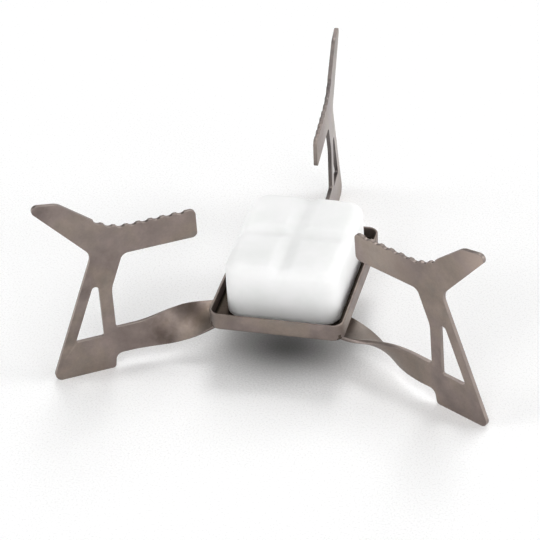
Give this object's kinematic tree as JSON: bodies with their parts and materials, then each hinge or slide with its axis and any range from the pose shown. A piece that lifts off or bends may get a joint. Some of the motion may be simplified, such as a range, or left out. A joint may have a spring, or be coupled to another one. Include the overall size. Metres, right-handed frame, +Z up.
{
  "type": "folding solid fuel stove",
  "caption": "Folding sheet metal stove for solid fuel: twisted legs with serrated pot arms turn on one rivet below a shallow tray that holds a fuel tablet.",
  "frame": {"origin": "where the axis of the leg rivet meets the ground that the feet stand on", "axes": "+X to the right along the tray's short side, +Y along the tray's long side to the back leg, +Z up"},
  "size_m": [0.0987, 0.0876, 0.0457],
  "materials": {
    "titanium_sheet": "bare rolled titanium, satin, warm brown grey",
    "rivet_metal": "bare turned metal, satin",
    "fuel": "pressed white fuel, matte and slightly waxy"
  },
  "bodies": {
    "tray": {"tray": "titanium_sheet", "pivot_rivet": "rivet_metal", "spacer_bush": "rivet_metal", "pivot_washer": "rivet_metal"},
    "left_leg": {"leg_left": "titanium_sheet"},
    "right_leg": {"leg_right": "titanium_sheet"},
    "back_leg": {"leg_back": "titanium_sheet"},
    "tablet": {"fuel_tablet": "fuel"}
  },
  "joints": [
    {"name": "left_leg_swing", "type": "hinge", "parent": "tray", "child": "left_leg", "pos_m": [0, 0, 0], "axis": [0, 0, 1], "continuous": true},
    {"name": "back_leg_fold", "type": "hinge", "parent": "left_leg", "child": "back_leg", "pos_m": [0, 0, 0], "axis": [0, 0, 1], "range_deg": [-35, 107]},
    {"name": "right_leg_fold", "type": "hinge", "parent": "back_leg", "child": "right_leg", "pos_m": [0, 0, 0], "axis": [0, 0, 1], "range_deg": [-35, 113]},
    {"name": "tablet_lift", "type": "slide", "parent": "tray", "child": "tablet", "axis": [0, 0, 1], "range_m": [0, 0.04]}
  ]
}
